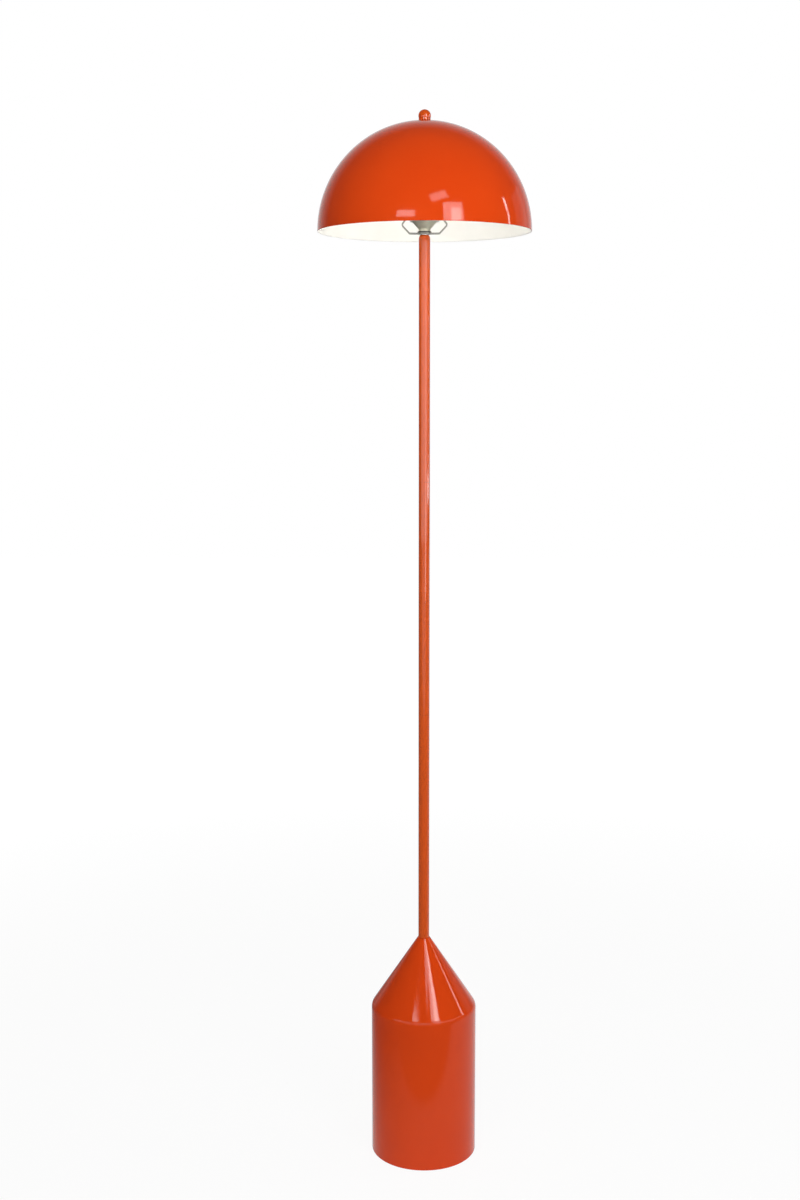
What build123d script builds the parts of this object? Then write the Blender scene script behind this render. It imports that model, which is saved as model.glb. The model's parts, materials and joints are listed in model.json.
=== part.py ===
"""A mushroom floor lamp: a domed metal shade on a slim pole that stands on a weighted base.

Millimetres. +Z is up, and the origin is on the floor under the middle of the base.
The wire frame that carries the shade lies in the XZ plane, and the cable leaves at the back, +Y.
"""
from build123d import *
from math import atan, cos, sqrt
import os

# Base: a cylinder that runs into a cone, spun in one piece
base_diameter = 156.0
base_side_height = 227.0
cone_height = 104.0
cone_tip_diameter = 18.0
shoulder_radius = 14.0
shell_wall = 1.2
shell_floor_gap = 1.0

# What fills the base
pad_thickness = 2.0
pad_margin = 3.0
plate_thickness = 3.0
ballast_height = 120.0
ballast_gap = 0.3
recess_diameter = 48.0
recess_height = 19.0
channel_width = 14.0
neck_bush_height = 16.0
neck_spigot_diameter = 13.0

# Pole: tubes screwed end to end, named from the bottom up
pole_names = ["lower_pole", "middle_pole", "upper_pole"]
pole_diameter = 16.0
pole_wall = 1.2
pole_section_length = 339.0
insert_length = 16.0
plug_rounding_height = 5.0
plug_band_height = 1.0
plug_top_diameter = 12.0

# Threaded tube that holds everything in line, and the nuts and washers on it
thread_diameter = 9.9
thread_bore_diameter = 7.0
thread_gap = 0.05
nut_width = 17.0
nut_height = 6.0
nut_chamfer_height = 0.8
washer_diameter = 36.0
washer_thickness = 2.5
rod_end_below_nut = 3.5
rod_engagement = 14.0
joint_nipple_length = 28.0
holder_nipple_below = 12.0
holder_nipple_above = 7.0

# Countersunk screws that hold the base plate
plate_screw_count = 3
plate_screw_circle = 112.0
plate_screw_diameter = 4.8
plate_screw_head_diameter = 9.2
plate_screw_head_height = 2.2
plate_screw_length = 16.0
screw_gap = 0.1

# Bush that the cable leaves by
inlet_height = 15.0
inlet_bore_diameter = 6.8
inlet_body_diameter = 10.0
inlet_flange_diameter = 15.0
inlet_flange_thickness = 1.8
inlet_barb_diameter = 12.0
inlet_barb_length = 6.0

# Clearances that several pieces share
wall_gap = 0.1
fit_gap = 0.3
cut_past = 1.0

# Saddle: a bent strip, clamped between the pole and the lampholder
neck_washer_thickness = 1.2
strip_thickness = 2.0
strip_width = 10.0
strip_bend_radius = 3.0
saddle_disc_diameter = 18.0
saddle_flat_half = 21.0
saddle_flare_half = 32.0
saddle_flare_rise = 11.8
saddle_ear_half = 26.0
saddle_ear_rise = 8.0
ear_width = 4.0
ear_length = 11.0
lock_nut_height = 2.0

# Harp: a bent wire that stands on the saddle's ears
wire_diameter = 3.2
sleeve_length = 12.0
sleeve_travel = 12.0
sleeve_wall = 0.8
leg_bend_allowance = 6.0
bow_half_width = 44.0
bow_flare_rise = 23.0
bow_shoulder_drop = 22.0
bow_top_half = 14.0
bow_bend_radius = 14.0
bow_shoulder_radius = 20.0
harp_rise = 123.3
boss_diameter = 9.0
boss_height = 5.0
wire_gap = 0.1
top_disc_diameter = 24.0
top_disc_thickness = 2.0
stud_diameter = 5.9
stud_gap = 0.1
stud_engagement = 8.0
seat_washer_diameter = 26.0
seat_washer_thickness = 1.8

# Shade: half a sphere, open below
shade_diameter = 300.0
shade_wall = 1.0
shade_hole_diameter = 8.0

# Finial: a ball on a short collar
finial_washer_diameter = 14.5
finial_washer_thickness = 0.8
ball_diameter = 17.5
collar_diameter = 16.5
finial_height = 14.8
finial_insert_diameter = 9.0
finial_insert_length = 11.0
finial_face_gap = 0.1

# Lampholder for a 27 mm screw cap
holder_neck_diameter = 17.0
holder_neck_height = 3.0
holder_boss_height = 8.0
holder_diameter = 38.0
holder_flare_rise = 12.0
holder_side_height = 12.4
holder_wall = 0.8
insulator_height = 11.4
insulator_chamfer = 1.5
skirt_diameter = 41.0
skirt_wall = 1.2
skirt_overlap = 14.4
skirt_height = 39.4
screw_shell_wall = 0.5
screw_shell_length = 24.0
screw_shell_floor = 0.8
contact_width = 6.0
contact_length = 15.0
contact_thickness = 0.5
contact_rise = 2.5
terminal_screw_diameter = 3.6
terminal_screw_length = 7.0
terminal_screw_spacing = 20.0

# Bulb
bulb_diameter = 45.0
bulb_length = 78.0
bulb_cap_diameter = 26.2
bulb_cap_length = 26.0
bulb_cap_wall = 0.5
bulb_neck_gap = 0.2
bulb_glass_wall = 0.9
bulb_glass_tuck = 7.0
bulb_fillet_radius = 15.0
insulator_ring_height = 4.0
insulator_ring_diameter = 18.0
tip_contact_diameter = 9.0
tip_contact_height = 1.5

# Heights that follow from the sizes above
plate_bottom = pad_thickness
ballast_bottom = plate_bottom + plate_thickness
ballast_top = ballast_bottom + ballast_height
recess_top = ballast_bottom + recess_height
cone_tip = base_side_height + cone_height
neck_bush_bottom = cone_tip - neck_bush_height
pole_joints = [cone_tip + number * pole_section_length for number in range(1, len(pole_names))]
pole_top = cone_tip + len(pole_names) * pole_section_length
plug_top = pole_top + plug_band_height + plug_rounding_height
saddle_bottom = plug_top + neck_washer_thickness
saddle_middle = saddle_bottom + strip_thickness / 2
saddle_top = saddle_bottom + strip_thickness
holder_bottom = saddle_top + lock_nut_height
ear_bottom = saddle_middle + saddle_flare_rise + saddle_ear_rise + strip_thickness / 2
ear_top = ear_bottom + ear_length
leg_x = saddle_ear_half + strip_thickness / 2 + fit_gap + wire_diameter / 2
leg_bend = ear_bottom + sleeve_length + sleeve_travel + leg_bend_allowance
harp_top = ear_bottom + harp_rise
top_disc_bottom = harp_top + boss_height / 2
top_disc_top = top_disc_bottom + top_disc_thickness
stud_bottom = harp_top + wire_diameter / 2 + fit_gap
seat_top = top_disc_top + seat_washer_thickness
shade_radius = shade_diameter / 2
shade_inner_radius = shade_radius - shade_wall


def dome_height(radius, distance):
    """How far a sphere of this radius rises above its middle, at this distance from the axis."""
    return sqrt(radius**2 - distance**2)


shade_rim = seat_top + fit_gap - dome_height(shade_inner_radius, seat_washer_diameter / 2)
finial_washer_bottom = shade_rim + dome_height(shade_radius, shade_hole_diameter / 2) + fit_gap
finial_bottom = finial_washer_bottom + finial_washer_thickness + finial_face_gap
finial_top = finial_bottom + finial_height
stud_top = finial_bottom + stud_engagement

# The cone's slope, and the shell's inner wall that runs parallel to the outer one
cone_slope = (base_diameter - cone_tip_diameter) / 2 / cone_height
cone_angle = atan(cone_slope)
shell_inner_radius = base_diameter / 2 - shell_wall
cone_wall_across = shell_wall / cos(cone_angle)
thread_hole_radius = thread_diameter / 2 + thread_gap

# Lampholder and bulb
holder_side_bottom = holder_bottom + holder_neck_height + holder_flare_rise
holder_top = holder_side_bottom + holder_side_height
holder_inner_radius = holder_diameter / 2 - holder_wall
insulator_bottom = holder_side_bottom + holder_wall
insulator_top = insulator_bottom + insulator_height
skirt_bottom = holder_top - skirt_overlap
skirt_top = skirt_bottom + skirt_height
screw_shell_bore_radius = bulb_cap_diameter / 2 + fit_gap
bulb_bottom = insulator_top + screw_shell_floor + contact_rise + fit_gap
bulb_cap_top = bulb_bottom + bulb_cap_length
bulb_top = bulb_bottom + bulb_length


def turned(outline):
    """A solid of revolution about the lamp's axis, from lines drawn as (radius, height)."""
    return revolve(Plane.XZ * make_face(outline), Axis.Z)


def turned_points(*points):
    """A solid of revolution from the straight-sided outline through these (radius, height) points."""
    return turned(Polyline(*points, close=True))


def ring(outer_radius, inner_radius, bottom, height):
    """A plain washer or tube round the lamp's axis."""
    top = bottom + height
    return turned_points(
        (inner_radius, bottom), (outer_radius, bottom), (outer_radius, top), (inner_radius, top)
    )


def post(radius, bottom, height, x=0.0, y=0.0):
    """An upright round bar."""
    return Pos(x, y, bottom) * Cylinder(radius, height, align=(Align.CENTER, Align.CENTER, Align.MIN))


def hex_nut(bottom, height):
    """A hexagon nut on the threaded tube."""
    blank = extrude(RegularPolygon(nut_width / 2, 6, major_radius=False), height)
    corner_cut = turned_points(
        (0, bottom),
        (nut_width / 2, bottom),
        (nut_width / sqrt(3), bottom + nut_chamfer_height),
        (nut_width / sqrt(3), bottom + height - nut_chamfer_height),
        (nut_width / 2, bottom + height),
        (0, bottom + height),
    )
    return (Pos(0, 0, bottom) * blank) & corner_cut - post(thread_hole_radius, bottom, height)


# ---- base ----


def cone_inner_radius(height):
    """The radius of the shell's inner wall at a height on the cone."""
    return cone_tip_diameter / 2 - cone_wall_across + (cone_tip - height) * cone_slope


def base_shell():
    outer_corner = (base_diameter / 2, base_side_height)
    inner_rise = (shell_inner_radius - cone_tip_diameter / 2 + cone_wall_across) / cone_slope
    inner_corner = (shell_inner_radius, cone_tip - inner_rise)
    tip_underside = cone_tip - shell_wall
    spigot_hole_radius = neck_spigot_diameter / 2 + wall_gap
    outer = FilletPolyline(
        (base_diameter / 2, shell_floor_gap),
        outer_corner,
        (cone_tip_diameter / 2, cone_tip),
        radius=shoulder_radius,
    )
    inner = FilletPolyline(
        (shell_inner_radius, shell_floor_gap),
        inner_corner,
        (cone_inner_radius(tip_underside), tip_underside),
        radius=shoulder_radius - shell_wall,
    )
    lip = Polyline(
        (cone_tip_diameter / 2, cone_tip),
        (spigot_hole_radius, cone_tip),
        (spigot_hole_radius, tip_underside),
        (cone_inner_radius(tip_underside), tip_underside),
    )
    foot = Line((base_diameter / 2, shell_floor_gap), (shell_inner_radius, shell_floor_gap))
    shell = turned(outer + lip + inner + foot)
    return shell - inlet_hole(inlet_body_diameter / 2 + wall_gap)


def inlet_hole(radius):
    """A round cutter through the back of the base, along the cable's way out."""
    return Pos(0, base_diameter / 2, inlet_height) * Rot(X=90) * Cylinder(radius, channel_width)


def neck_bush():
    """The turned bush under the cone's tip, which the pole's thread passes through."""
    shoulder = cone_tip - shell_wall - wall_gap
    return turned_points(
        (thread_hole_radius, neck_bush_bottom),
        (cone_inner_radius(neck_bush_bottom) - wall_gap, neck_bush_bottom),
        (cone_inner_radius(shoulder) - wall_gap, shoulder),
        (neck_spigot_diameter / 2, shoulder),
        (neck_spigot_diameter / 2, cone_tip),
        (thread_hole_radius, cone_tip),
    )


def screw_places():
    """The plate's screws, evenly round their circle, with none over the cable's channel."""
    return PolarLocations(plate_screw_circle / 2, plate_screw_count, start_angle=-90)


def base_ballast():
    """The cast weight, with a pocket under its middle and a channel for the cable."""
    radius = shell_inner_radius - ballast_gap
    block = ring(radius, thread_hole_radius + thread_gap, ballast_bottom, ballast_height)
    pocket = post(recess_diameter / 2, ballast_bottom, recess_height)
    channel = Pos(0, 0, ballast_bottom) * Box(
        channel_width, radius + cut_past, recess_height, align=(Align.CENTER, Align.MIN, Align.MIN)
    )
    depth = plate_screw_length - plate_thickness + cut_past
    plugs = [
        place * post(plate_screw_diameter / 2 + screw_gap, ballast_bottom, depth)
        for place in screw_places()
    ]
    return block - pocket - channel - plugs


def countersunk(radius_gap):
    """A countersunk screw's body below the plate, or with a gap the hole for it."""
    head_radius = plate_screw_head_diameter / 2 + radius_gap
    shank_radius = plate_screw_diameter / 2 + radius_gap
    head_top = plate_bottom + plate_screw_head_height
    return turned_points(
        (0, plate_bottom),
        (head_radius, plate_bottom),
        (shank_radius, head_top),
        (shank_radius, plate_bottom + plate_screw_length),
        (0, plate_bottom + plate_screw_length),
    )


def base_plate():
    plate = post(shell_inner_radius - ballast_gap, plate_bottom, plate_thickness)
    holes = [place * countersunk(screw_gap) for place in screw_places()]
    return plate - holes


def base_plate_screws():
    return Compound([place * countersunk(0) for place in screw_places()])


def foot_pad():
    return post(shell_inner_radius - pad_margin, 0, pad_thickness)


def cable_inlet_bush():
    """A snap-in bush: flange outside, barb inside, and a smooth bore for the cable."""
    wall_outside = base_diameter / 2
    wall_inside = wall_outside - shell_wall
    face = wall_outside + wall_gap
    barb_front = sqrt(wall_inside**2 - (inlet_barb_diameter / 2) ** 2) - wall_gap
    end = barb_front - inlet_barb_length
    bore = inlet_bore_diameter / 2
    body = inlet_body_diameter / 2
    outline = Polyline(
        (bore, end),
        (body, end),
        (inlet_barb_diameter / 2, barb_front),
        (body, barb_front),
        (body, face),
        (inlet_flange_diameter / 2, face),
        (inlet_flange_diameter / 2 - inlet_flange_thickness / 2, face + inlet_flange_thickness),
        (bore, face + inlet_flange_thickness),
        close=True,
    )
    return Pos(0, 0, inlet_height) * Rot(X=-90) * turned(outline)


# ---- threaded tube, nuts and washers ----


def threaded_tube(bottom, length):
    return ring(thread_diameter / 2, thread_bore_diameter / 2, bottom, length)


def tie_rod():
    bottom = recess_top - washer_thickness - nut_height - rod_end_below_nut
    return threaded_tube(bottom, cone_tip + rod_engagement - bottom)


def tie_rod_washers():
    radius = washer_diameter / 2
    under = ring(radius, thread_hole_radius, recess_top - washer_thickness, washer_thickness)
    over = ring(radius, thread_hole_radius, ballast_top, washer_thickness)
    return Compound([under, over])


def tie_rod_nuts():
    under = hex_nut(recess_top - washer_thickness - nut_height, nut_height)
    over = hex_nut(ballast_top + washer_thickness, nut_height)
    neck = hex_nut(neck_bush_bottom - nut_height, nut_height)
    return Compound([under, over, neck])


# ---- pole ----


def pole_section(number):
    bottom = cone_tip + number * pole_section_length
    return ring(pole_diameter / 2, pole_diameter / 2 - pole_wall, bottom, pole_section_length)


def pole_insert(bottom):
    radius = pole_diameter / 2 - pole_wall - thread_gap
    return ring(radius, thread_hole_radius, bottom, insert_length)


def pole_end_inserts():
    """A threaded insert in each tube's ends, but for the topmost, which the plug closes."""
    inserts = [pole_insert(cone_tip)]
    for joint in pole_joints:
        inserts += [pole_insert(joint - insert_length), pole_insert(joint)]
    return Compound(inserts)


def pole_joint_nipples():
    return Compound(
        [threaded_tube(joint - joint_nipple_length / 2, joint_nipple_length) for joint in pole_joints]
    )


def pole_top_plug():
    """The rounded plug that closes the pole and takes the lampholder's nipple."""
    outside = pole_diameter / 2
    inside = outside - pole_wall - thread_gap
    rounding_start = (outside, pole_top + plug_band_height)
    rounding_end = (plug_top_diameter / 2, plug_top)
    side = Polyline(
        rounding_end,
        (thread_hole_radius, plug_top),
        (thread_hole_radius, pole_top - insert_length),
        (inside, pole_top - insert_length),
        (inside, pole_top),
        (outside, pole_top),
        rounding_start,
    )
    return turned(side + TangentArc(rounding_start, rounding_end, tangent=(0, 1)))


def holder_nipple():
    bottom = plug_top - holder_nipple_below
    return threaded_tube(bottom, holder_bottom + holder_nipple_above - bottom)


def neck_washer():
    return ring(plug_top_diameter / 2, thread_hole_radius, plug_top, neck_washer_thickness)


# ---- saddle and harp ----


def harp_saddle():
    """A strip bent up and out, then in again, to two ears. A disc in its middle takes the thread."""
    flare_top = saddle_middle + saddle_flare_rise
    right_half = [
        (saddle_flat_half, saddle_middle),
        (saddle_flare_half, flare_top),
        (saddle_ear_half, flare_top + saddle_ear_rise),
        (saddle_ear_half, ear_top),
    ]
    left_half = [(-x, height) for x, height in reversed(right_half)]
    path = FilletPolyline(*left_half, *right_half, radius=strip_bend_radius)
    strip = extrude(Plane.XZ * trace(path, strip_thickness), strip_width / 2, both=True)
    side_view = Polyline(
        (-strip_width / 2, saddle_bottom),
        (strip_width / 2, saddle_bottom),
        (strip_width / 2, ear_bottom),
        (ear_width / 2, ear_bottom),
        (ear_width / 2, ear_top),
        (-ear_width / 2, ear_top),
        (-ear_width / 2, ear_bottom),
        (-strip_width / 2, ear_bottom),
        close=True,
    )
    narrowed = strip & extrude(Plane.YZ * make_face(side_view), 2 * saddle_flare_half, both=True)
    disc = post(saddle_disc_diameter / 2, saddle_bottom, strip_thickness)
    return narrowed + disc - post(thread_hole_radius, saddle_bottom, strip_thickness)


def saddle_lock_nut():
    return hex_nut(saddle_top, lock_nut_height)


def harp_frame():
    """One wire: two straight legs, a bow round the bulb, and a flat top through the boss."""
    right_half = [
        (bow_top_half, harp_top),
        (bow_half_width, harp_top - bow_shoulder_drop),
        (bow_half_width, leg_bend + bow_flare_rise),
        (leg_x, leg_bend),
        (leg_x, ear_bottom),
    ]
    left_half = [(-x, height) for x, height in reversed(right_half)]
    bend, shoulder = bow_bend_radius, bow_shoulder_radius
    half_radii = [bend, shoulder, bend, bend]
    path = FilletPolyline(*left_half, *right_half, radius=list(reversed(half_radii)) + half_radii)
    wire_path = Plane.XZ * path
    section = Pos(-leg_x, 0, ear_bottom) * Circle(wire_diameter / 2)
    return sweep(section, wire_path)


def harp_top_disc():
    """The disc that the shade sits on, with a boss that the wire passes through."""
    disc = post(top_disc_diameter / 2, top_disc_bottom, top_disc_thickness)
    boss = post(boss_diameter / 2, harp_top - boss_height / 2, boss_height)
    wire_hole = Rot(Y=90) * Cylinder(wire_diameter / 2 + wire_gap, 2 * boss_diameter)
    stud_hole = post(stud_diameter / 2 + thread_gap, stud_bottom, top_disc_top - stud_bottom)
    return disc + boss - Pos(0, 0, harp_top) * wire_hole - stud_hole


def harp_top_stud():
    return post(stud_diameter / 2, stud_bottom, stud_top - stud_bottom)


def shade_seat_washer():
    return ring(
        seat_washer_diameter / 2, stud_diameter / 2 + stud_gap, top_disc_top, seat_washer_thickness
    )


def locking_sleeve(side):
    """The tube that drops over an ear and the harp's leg, and holds them together."""
    inner_edge = saddle_ear_half - strip_thickness / 2
    outer_edge = leg_x + wire_diameter / 2
    middle = (inner_edge + outer_edge) / 2
    bore = sqrt((middle - inner_edge) ** 2 + (ear_width / 2) ** 2) + fit_gap
    return Pos(side * middle, 0, 0) * ring(bore + sleeve_wall, bore, ear_bottom + fit_gap, sleeve_length)


# ---- shade and finial ----


def shade():
    """Half a sphere of sheet metal with a hole at its top for the stud."""
    hole = shade_hole_diameter / 2
    inner = shade_inner_radius
    diagonal = sqrt(0.5)
    outer_top = (hole, shade_rim + dome_height(shade_radius, hole))
    inner_top = (hole, shade_rim + dome_height(inner, hole))
    outer_arc = ThreePointArc(
        (shade_radius, shade_rim),
        (shade_radius * diagonal, shade_rim + shade_radius * diagonal),
        outer_top,
    )
    inner_arc = ThreePointArc(
        (inner, shade_rim), (inner * diagonal, shade_rim + inner * diagonal), inner_top
    )
    rim = Line((inner, shade_rim), (shade_radius, shade_rim))
    return turned(outer_arc + Line(outer_top, inner_top) + inner_arc + rim)


def finial_washer():
    return ring(
        finial_washer_diameter / 2,
        stud_diameter / 2 + fit_gap,
        finial_washer_bottom,
        finial_washer_thickness,
    )


def finial():
    """A ball that meets a short collar of almost its own width, bored for its threaded insert."""
    ball_radius = ball_diameter / 2
    middle = finial_top - ball_radius
    collar = collar_diameter / 2
    collar_top = middle - dome_height(ball_radius, collar)
    pocket = finial_insert_diameter / 2 + thread_gap
    pocket_top = finial_bottom + finial_insert_length
    ball_side = ThreePointArc((collar, collar_top), (ball_radius, middle), (0, finial_top))
    rest = Polyline(
        (0, finial_top),
        (0, pocket_top),
        (pocket, pocket_top),
        (pocket, finial_bottom),
        (collar, finial_bottom),
        (collar, collar_top),
    )
    return turned(ball_side + rest)


def finial_insert():
    """The threaded bush in the finial, closed at its top."""
    blank = post(finial_insert_diameter / 2, finial_bottom, finial_insert_length)
    thread = post(stud_diameter / 2 + stud_gap, finial_bottom, stud_engagement + cut_past)
    return blank - thread


# ---- lampholder ----


def holder_cap():
    """The flared metal cup, with a threaded boss in its neck."""
    neck = holder_neck_diameter / 2
    outside = holder_diameter / 2
    flare_bottom = holder_bottom + holder_neck_height
    boss_top = holder_bottom + holder_boss_height
    flare_slope = (outside - neck) / holder_flare_rise
    wall_across = holder_wall * sqrt(1 + flare_slope**2)
    boss_radius = neck - holder_wall
    foot_of_boss = flare_bottom + (wall_across - holder_wall) / flare_slope
    return turned_points(
        (thread_hole_radius, holder_bottom),
        (neck, holder_bottom),
        (neck, flare_bottom),
        (outside, holder_side_bottom),
        (outside, holder_top),
        (holder_inner_radius, holder_top),
        (holder_inner_radius, flare_bottom + (holder_inner_radius - neck + wall_across) / flare_slope),
        (boss_radius, foot_of_boss),
        (boss_radius, boss_top),
        (thread_hole_radius, boss_top),
    )


def holder_insulator():
    """The ceramic block that carries the screw shell and the contacts."""
    radius = holder_inner_radius - fit_gap
    block = turned_points(
        (0, insulator_bottom),
        (radius - insulator_chamfer, insulator_bottom),
        (radius, insulator_bottom + insulator_chamfer),
        (radius, insulator_top),
        (0, insulator_top),
    )
    holes = [
        post(
            terminal_screw_diameter / 2 + screw_gap,
            insulator_bottom,
            terminal_screw_length,
            x=side * terminal_screw_spacing / 2,
        )
        for side in (-1, 1)
    ]
    return block - holes


def holder_terminal_screws():
    return Compound(
        [
            post(
                terminal_screw_diameter / 2,
                insulator_bottom,
                terminal_screw_length,
                x=side * terminal_screw_spacing / 2,
            )
            for side in (-1, 1)
        ]
    )


def holder_screw_shell():
    """The brass cup that the bulb screws into, with a slot in its floor for the contact."""
    outer = screw_shell_bore_radius + screw_shell_wall
    cup = turned_points(
        (0, insulator_top),
        (outer, insulator_top),
        (outer, insulator_top + screw_shell_length),
        (screw_shell_bore_radius, insulator_top + screw_shell_length),
        (screw_shell_bore_radius, insulator_top + screw_shell_floor),
        (0, insulator_top + screw_shell_floor),
    )
    slot = Pos(0, 0, insulator_top) * Box(
        contact_width + 2 * fit_gap, contact_length + 2 * fit_gap, 4 * screw_shell_floor
    )
    return cup - slot


def holder_contact():
    """The springy tongue that the bulb's tip presses on."""
    half = contact_length / 2
    top = bulb_bottom - fit_gap - contact_thickness / 2
    bottom = insulator_top + contact_thickness / 2
    path = Polyline((-half, bottom), (-half / 2, bottom), (0, top), (half / 2, top))
    return extrude(Plane.YZ * trace(path, contact_thickness), contact_width / 2, both=True)


def holder_skirt():
    """The ring round the lampholder's mouth, with a lip that keeps fingers off the screw shell."""
    outside = skirt_diameter / 2
    inside = outside - skirt_wall
    mouth = screw_shell_bore_radius + screw_shell_wall + fit_gap
    return turned_points(
        (inside, skirt_bottom),
        (outside, skirt_bottom),
        (outside, skirt_top - skirt_wall),
        (outside - skirt_wall, skirt_top),
        (mouth, skirt_top),
        (mouth, skirt_top - skirt_wall),
        (inside, skirt_top - skirt_wall),
    )


# ---- bulb ----


def bulb_glass_side(inset):
    """The side of the globe from its neck to its top, as lines this far inside the outer surface."""
    ball = bulb_diameter / 2 - inset
    neck = bulb_cap_diameter / 2 - bulb_cap_wall - bulb_neck_gap - inset
    fillet_radius = bulb_fillet_radius + inset
    middle = bulb_top - bulb_diameter / 2
    reach = ball + fillet_radius
    across = neck + fillet_radius
    fillet_height = middle - sqrt(reach**2 - across**2)
    meet = (across * ball / reach, middle - (middle - fillet_height) * ball / reach)
    neck_bottom = (neck, bulb_cap_top - bulb_glass_tuck)
    neck_top = (neck, fillet_height)
    fillet_arc = TangentArc(neck_top, meet, tangent=(0, 1))
    ball_arc = ThreePointArc(meet, (ball, middle), (0, middle + ball))
    return Line(neck_bottom, neck_top) + fillet_arc + ball_arc


def bulb_glass():
    neck = bulb_cap_diameter / 2 - bulb_cap_wall - bulb_neck_gap
    bottom = bulb_cap_top - bulb_glass_tuck
    edge = Line((neck - bulb_glass_wall, bottom), (neck, bottom))
    crown = Line((0, bulb_top - bulb_glass_wall), (0, bulb_top))
    return turned(bulb_glass_side(0) + crown + bulb_glass_side(bulb_glass_wall) + edge)


def bulb_cap():
    """The screw cap: a thin cup that narrows to the insulator ring."""
    outside = bulb_cap_diameter / 2
    ring_radius = insulator_ring_diameter / 2
    cup_bottom = bulb_bottom + tip_contact_height + insulator_ring_height
    cone_top = cup_bottom + outside - ring_radius
    return turned_points(
        (0, cup_bottom),
        (ring_radius, cup_bottom),
        (outside, cone_top),
        (outside, bulb_cap_top),
        (outside - bulb_cap_wall, bulb_cap_top),
        (outside - bulb_cap_wall, cone_top),
        (ring_radius - bulb_cap_wall, cup_bottom + bulb_cap_wall),
        (0, cup_bottom + bulb_cap_wall),
    )


def bulb_insulator():
    bottom = bulb_bottom + tip_contact_height
    return turned_points(
        (0, bottom),
        (tip_contact_diameter / 2 + bulb_cap_wall, bottom),
        (insulator_ring_diameter / 2, bottom + insulator_ring_height),
        (0, bottom + insulator_ring_height),
    )


def bulb_tip_contact():
    return post(tip_contact_diameter / 2, bulb_bottom, tip_contact_height)


parts = {
    "base_shell": base_shell(),
    "neck_bush": neck_bush(),
    "base_ballast": base_ballast(),
    "base_plate": base_plate(),
    "base_plate_screws": base_plate_screws(),
    "foot_pad": foot_pad(),
    "cable_inlet_bush": cable_inlet_bush(),
    "tie_rod": tie_rod(),
    "tie_rod_washers": tie_rod_washers(),
    "tie_rod_nuts": tie_rod_nuts(),
    **{name: pole_section(number) for number, name in enumerate(pole_names)},
    "pole_end_inserts": pole_end_inserts(),
    "pole_joint_nipples": pole_joint_nipples(),
    "pole_top_plug": pole_top_plug(),
    "holder_nipple": holder_nipple(),
    "neck_washer": neck_washer(),
    "harp_saddle": harp_saddle(),
    "saddle_lock_nut": saddle_lock_nut(),
    "holder_cap": holder_cap(),
    "holder_insulator": holder_insulator(),
    "holder_terminal_screws": holder_terminal_screws(),
    "holder_screw_shell": holder_screw_shell(),
    "holder_contact": holder_contact(),
    "holder_skirt": holder_skirt(),
    "harp_frame": harp_frame(),
    "harp_top_disc": harp_top_disc(),
    "harp_top_stud": harp_top_stud(),
    "shade_seat_washer": shade_seat_washer(),
    "left_sleeve": locking_sleeve(-1),
    "right_sleeve": locking_sleeve(1),
    "bulb_glass": bulb_glass(),
    "bulb_cap": bulb_cap(),
    "bulb_insulator": bulb_insulator(),
    "bulb_tip_contact": bulb_tip_contact(),
    "shade": shade(),
    "finial_washer": finial_washer(),
    "finial": finial(),
    "finial_insert": finial_insert(),
}

os.makedirs("parts", exist_ok=True)
for name, solid in parts.items():
    export_step(solid, f"parts/{name}.step")
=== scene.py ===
"""The mushroom floor lamp's looks: painted, plated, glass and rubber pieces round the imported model.

Outlines are written in millimetres. A turned piece is drawn as half its outline, with the radius across
and the height up, and is then spun about the lamp's axis. A bent piece starts as its section, is pushed
along its straight runs and is spun round its bends.
"""
import json
from math import atan2, cos, degrees, hypot, pi, radians, sin, sqrt, tan

import bpy
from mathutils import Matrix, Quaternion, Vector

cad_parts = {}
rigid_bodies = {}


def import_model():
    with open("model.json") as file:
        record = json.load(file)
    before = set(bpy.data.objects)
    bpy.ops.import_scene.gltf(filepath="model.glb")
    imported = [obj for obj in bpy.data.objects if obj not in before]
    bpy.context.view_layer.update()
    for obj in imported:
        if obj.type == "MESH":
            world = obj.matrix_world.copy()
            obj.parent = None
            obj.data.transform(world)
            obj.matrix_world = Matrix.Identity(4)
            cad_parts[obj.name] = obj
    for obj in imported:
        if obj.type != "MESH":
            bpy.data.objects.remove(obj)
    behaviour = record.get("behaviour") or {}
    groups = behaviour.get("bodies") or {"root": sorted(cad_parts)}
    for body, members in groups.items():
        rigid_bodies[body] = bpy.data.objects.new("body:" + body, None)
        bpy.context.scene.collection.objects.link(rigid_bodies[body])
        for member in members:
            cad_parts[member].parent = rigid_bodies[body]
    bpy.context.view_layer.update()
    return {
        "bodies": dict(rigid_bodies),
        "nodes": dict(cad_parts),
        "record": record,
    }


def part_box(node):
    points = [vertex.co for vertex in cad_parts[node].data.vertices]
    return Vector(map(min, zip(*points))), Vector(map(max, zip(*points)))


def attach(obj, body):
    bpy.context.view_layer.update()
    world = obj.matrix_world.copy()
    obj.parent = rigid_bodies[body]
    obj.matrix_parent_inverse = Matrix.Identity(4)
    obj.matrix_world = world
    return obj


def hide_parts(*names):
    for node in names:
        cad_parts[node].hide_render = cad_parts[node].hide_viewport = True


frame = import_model()

MM = 0.001
# Points of a mesh closer than WELD are the same point. SEAM is the wider gap that an outline may have
# where its last arc ends.
WELD = 0.000001
SEAM = 0.00003


def bottom_of(node):
    """The height of a node's lowest point, in millimetres."""
    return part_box(node)[0].z / MM


def top_of(node):
    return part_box(node)[1].z / MM


# ---- camera, lights and floor ----

camera_distance = 2.189
camera_height = 1.143
camera_pitch = 7.925
camera_yaw = 0.905
camera_roll = 0.065
camera_lens = 45.82

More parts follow.
